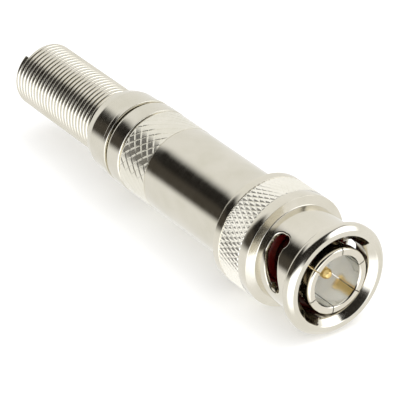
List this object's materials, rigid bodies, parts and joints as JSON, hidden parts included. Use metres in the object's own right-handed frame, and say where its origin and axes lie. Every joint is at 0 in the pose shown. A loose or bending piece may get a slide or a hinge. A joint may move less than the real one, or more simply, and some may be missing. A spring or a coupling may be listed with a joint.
{
  "type": "bnc connector",
  "caption": "Cable plug with a bayonet coupling nut, slotted contact tube and centre pin, long knurled screw-on shell and close-wound spring strain relief.",
  "frame": {"origin": "centre of the mouth of the coupling nut, on its front face, which is the lowest plane of the part", "axes": "+Z runs along the plug's axis from the mating face to the free end of the spring; the part stands on its mating face; the first entry keyway points to 174 degrees from +X about +Z and the other to -6 degrees"},
  "size_m": [0.0142, 0.0142, 0.0618],
  "materials": {
    "nickel_bright": "bright nickel plate",
    "nickel_satin": "satin nickel plate over brass",
    "gilt": "thin gold plate",
    "white_plastic": "waxy white fluoroplastic",
    "red_rubber": "dark red silicone",
    "spring_wire": "nickel-plated spring wire",
    "strip_steel": "plain strip",
    "clear_sleeve": "milky sleeve"
  },
  "bodies": {
    "plug": {"plug_body": "nickel_satin", "outer_contact": "nickel_satin", "centre_pin": "gilt", "insulator": "white_plastic", "rear_insulator": "white_plastic", "gasket": "red_rubber", "snap_ring": "strip_steel", "wave_washer": "strip_steel", "cable_clamp": "strip_steel"},
    "washer": {"thrust_washer": "strip_steel"},
    "nut": {"coupling_nut": "nickel_satin"},
    "boot": {"spring_ferrule": "nickel_satin", "strain_relief_spring": "spring_wire"},
    "shell": {"rear_shell": "nickel_satin", "insulating_sleeve": "clear_sleeve"}
  },
  "joints": [
    {"name": "nut_slide", "type": "slide", "parent": "plug", "child": "washer", "axis": [0, 0, -1], "range_m": [0, 0.0008], "stiffness_N_per_m": 3000, "deforming": ["wave_washer"]},
    {"name": "nut_spin", "type": "hinge", "parent": "washer", "child": "nut", "pos_m": [0, 0, 0], "axis": [0, 0, 1], "continuous": true},
    {"name": "boot_slide", "type": "slide", "parent": "plug", "child": "boot", "axis": [0, 0, 1], "range_m": [0, 0.00526]},
    {"name": "shell_spin", "type": "hinge", "parent": "boot", "child": "shell", "pos_m": [0, 0, 0], "axis": [0, 0, 1], "range_deg": [0, 2520]}
  ],
  "couplings": [
    {"joint": "boot_slide", "follows": "shell_spin", "m_per_rad": 0.00011937}
  ]
}
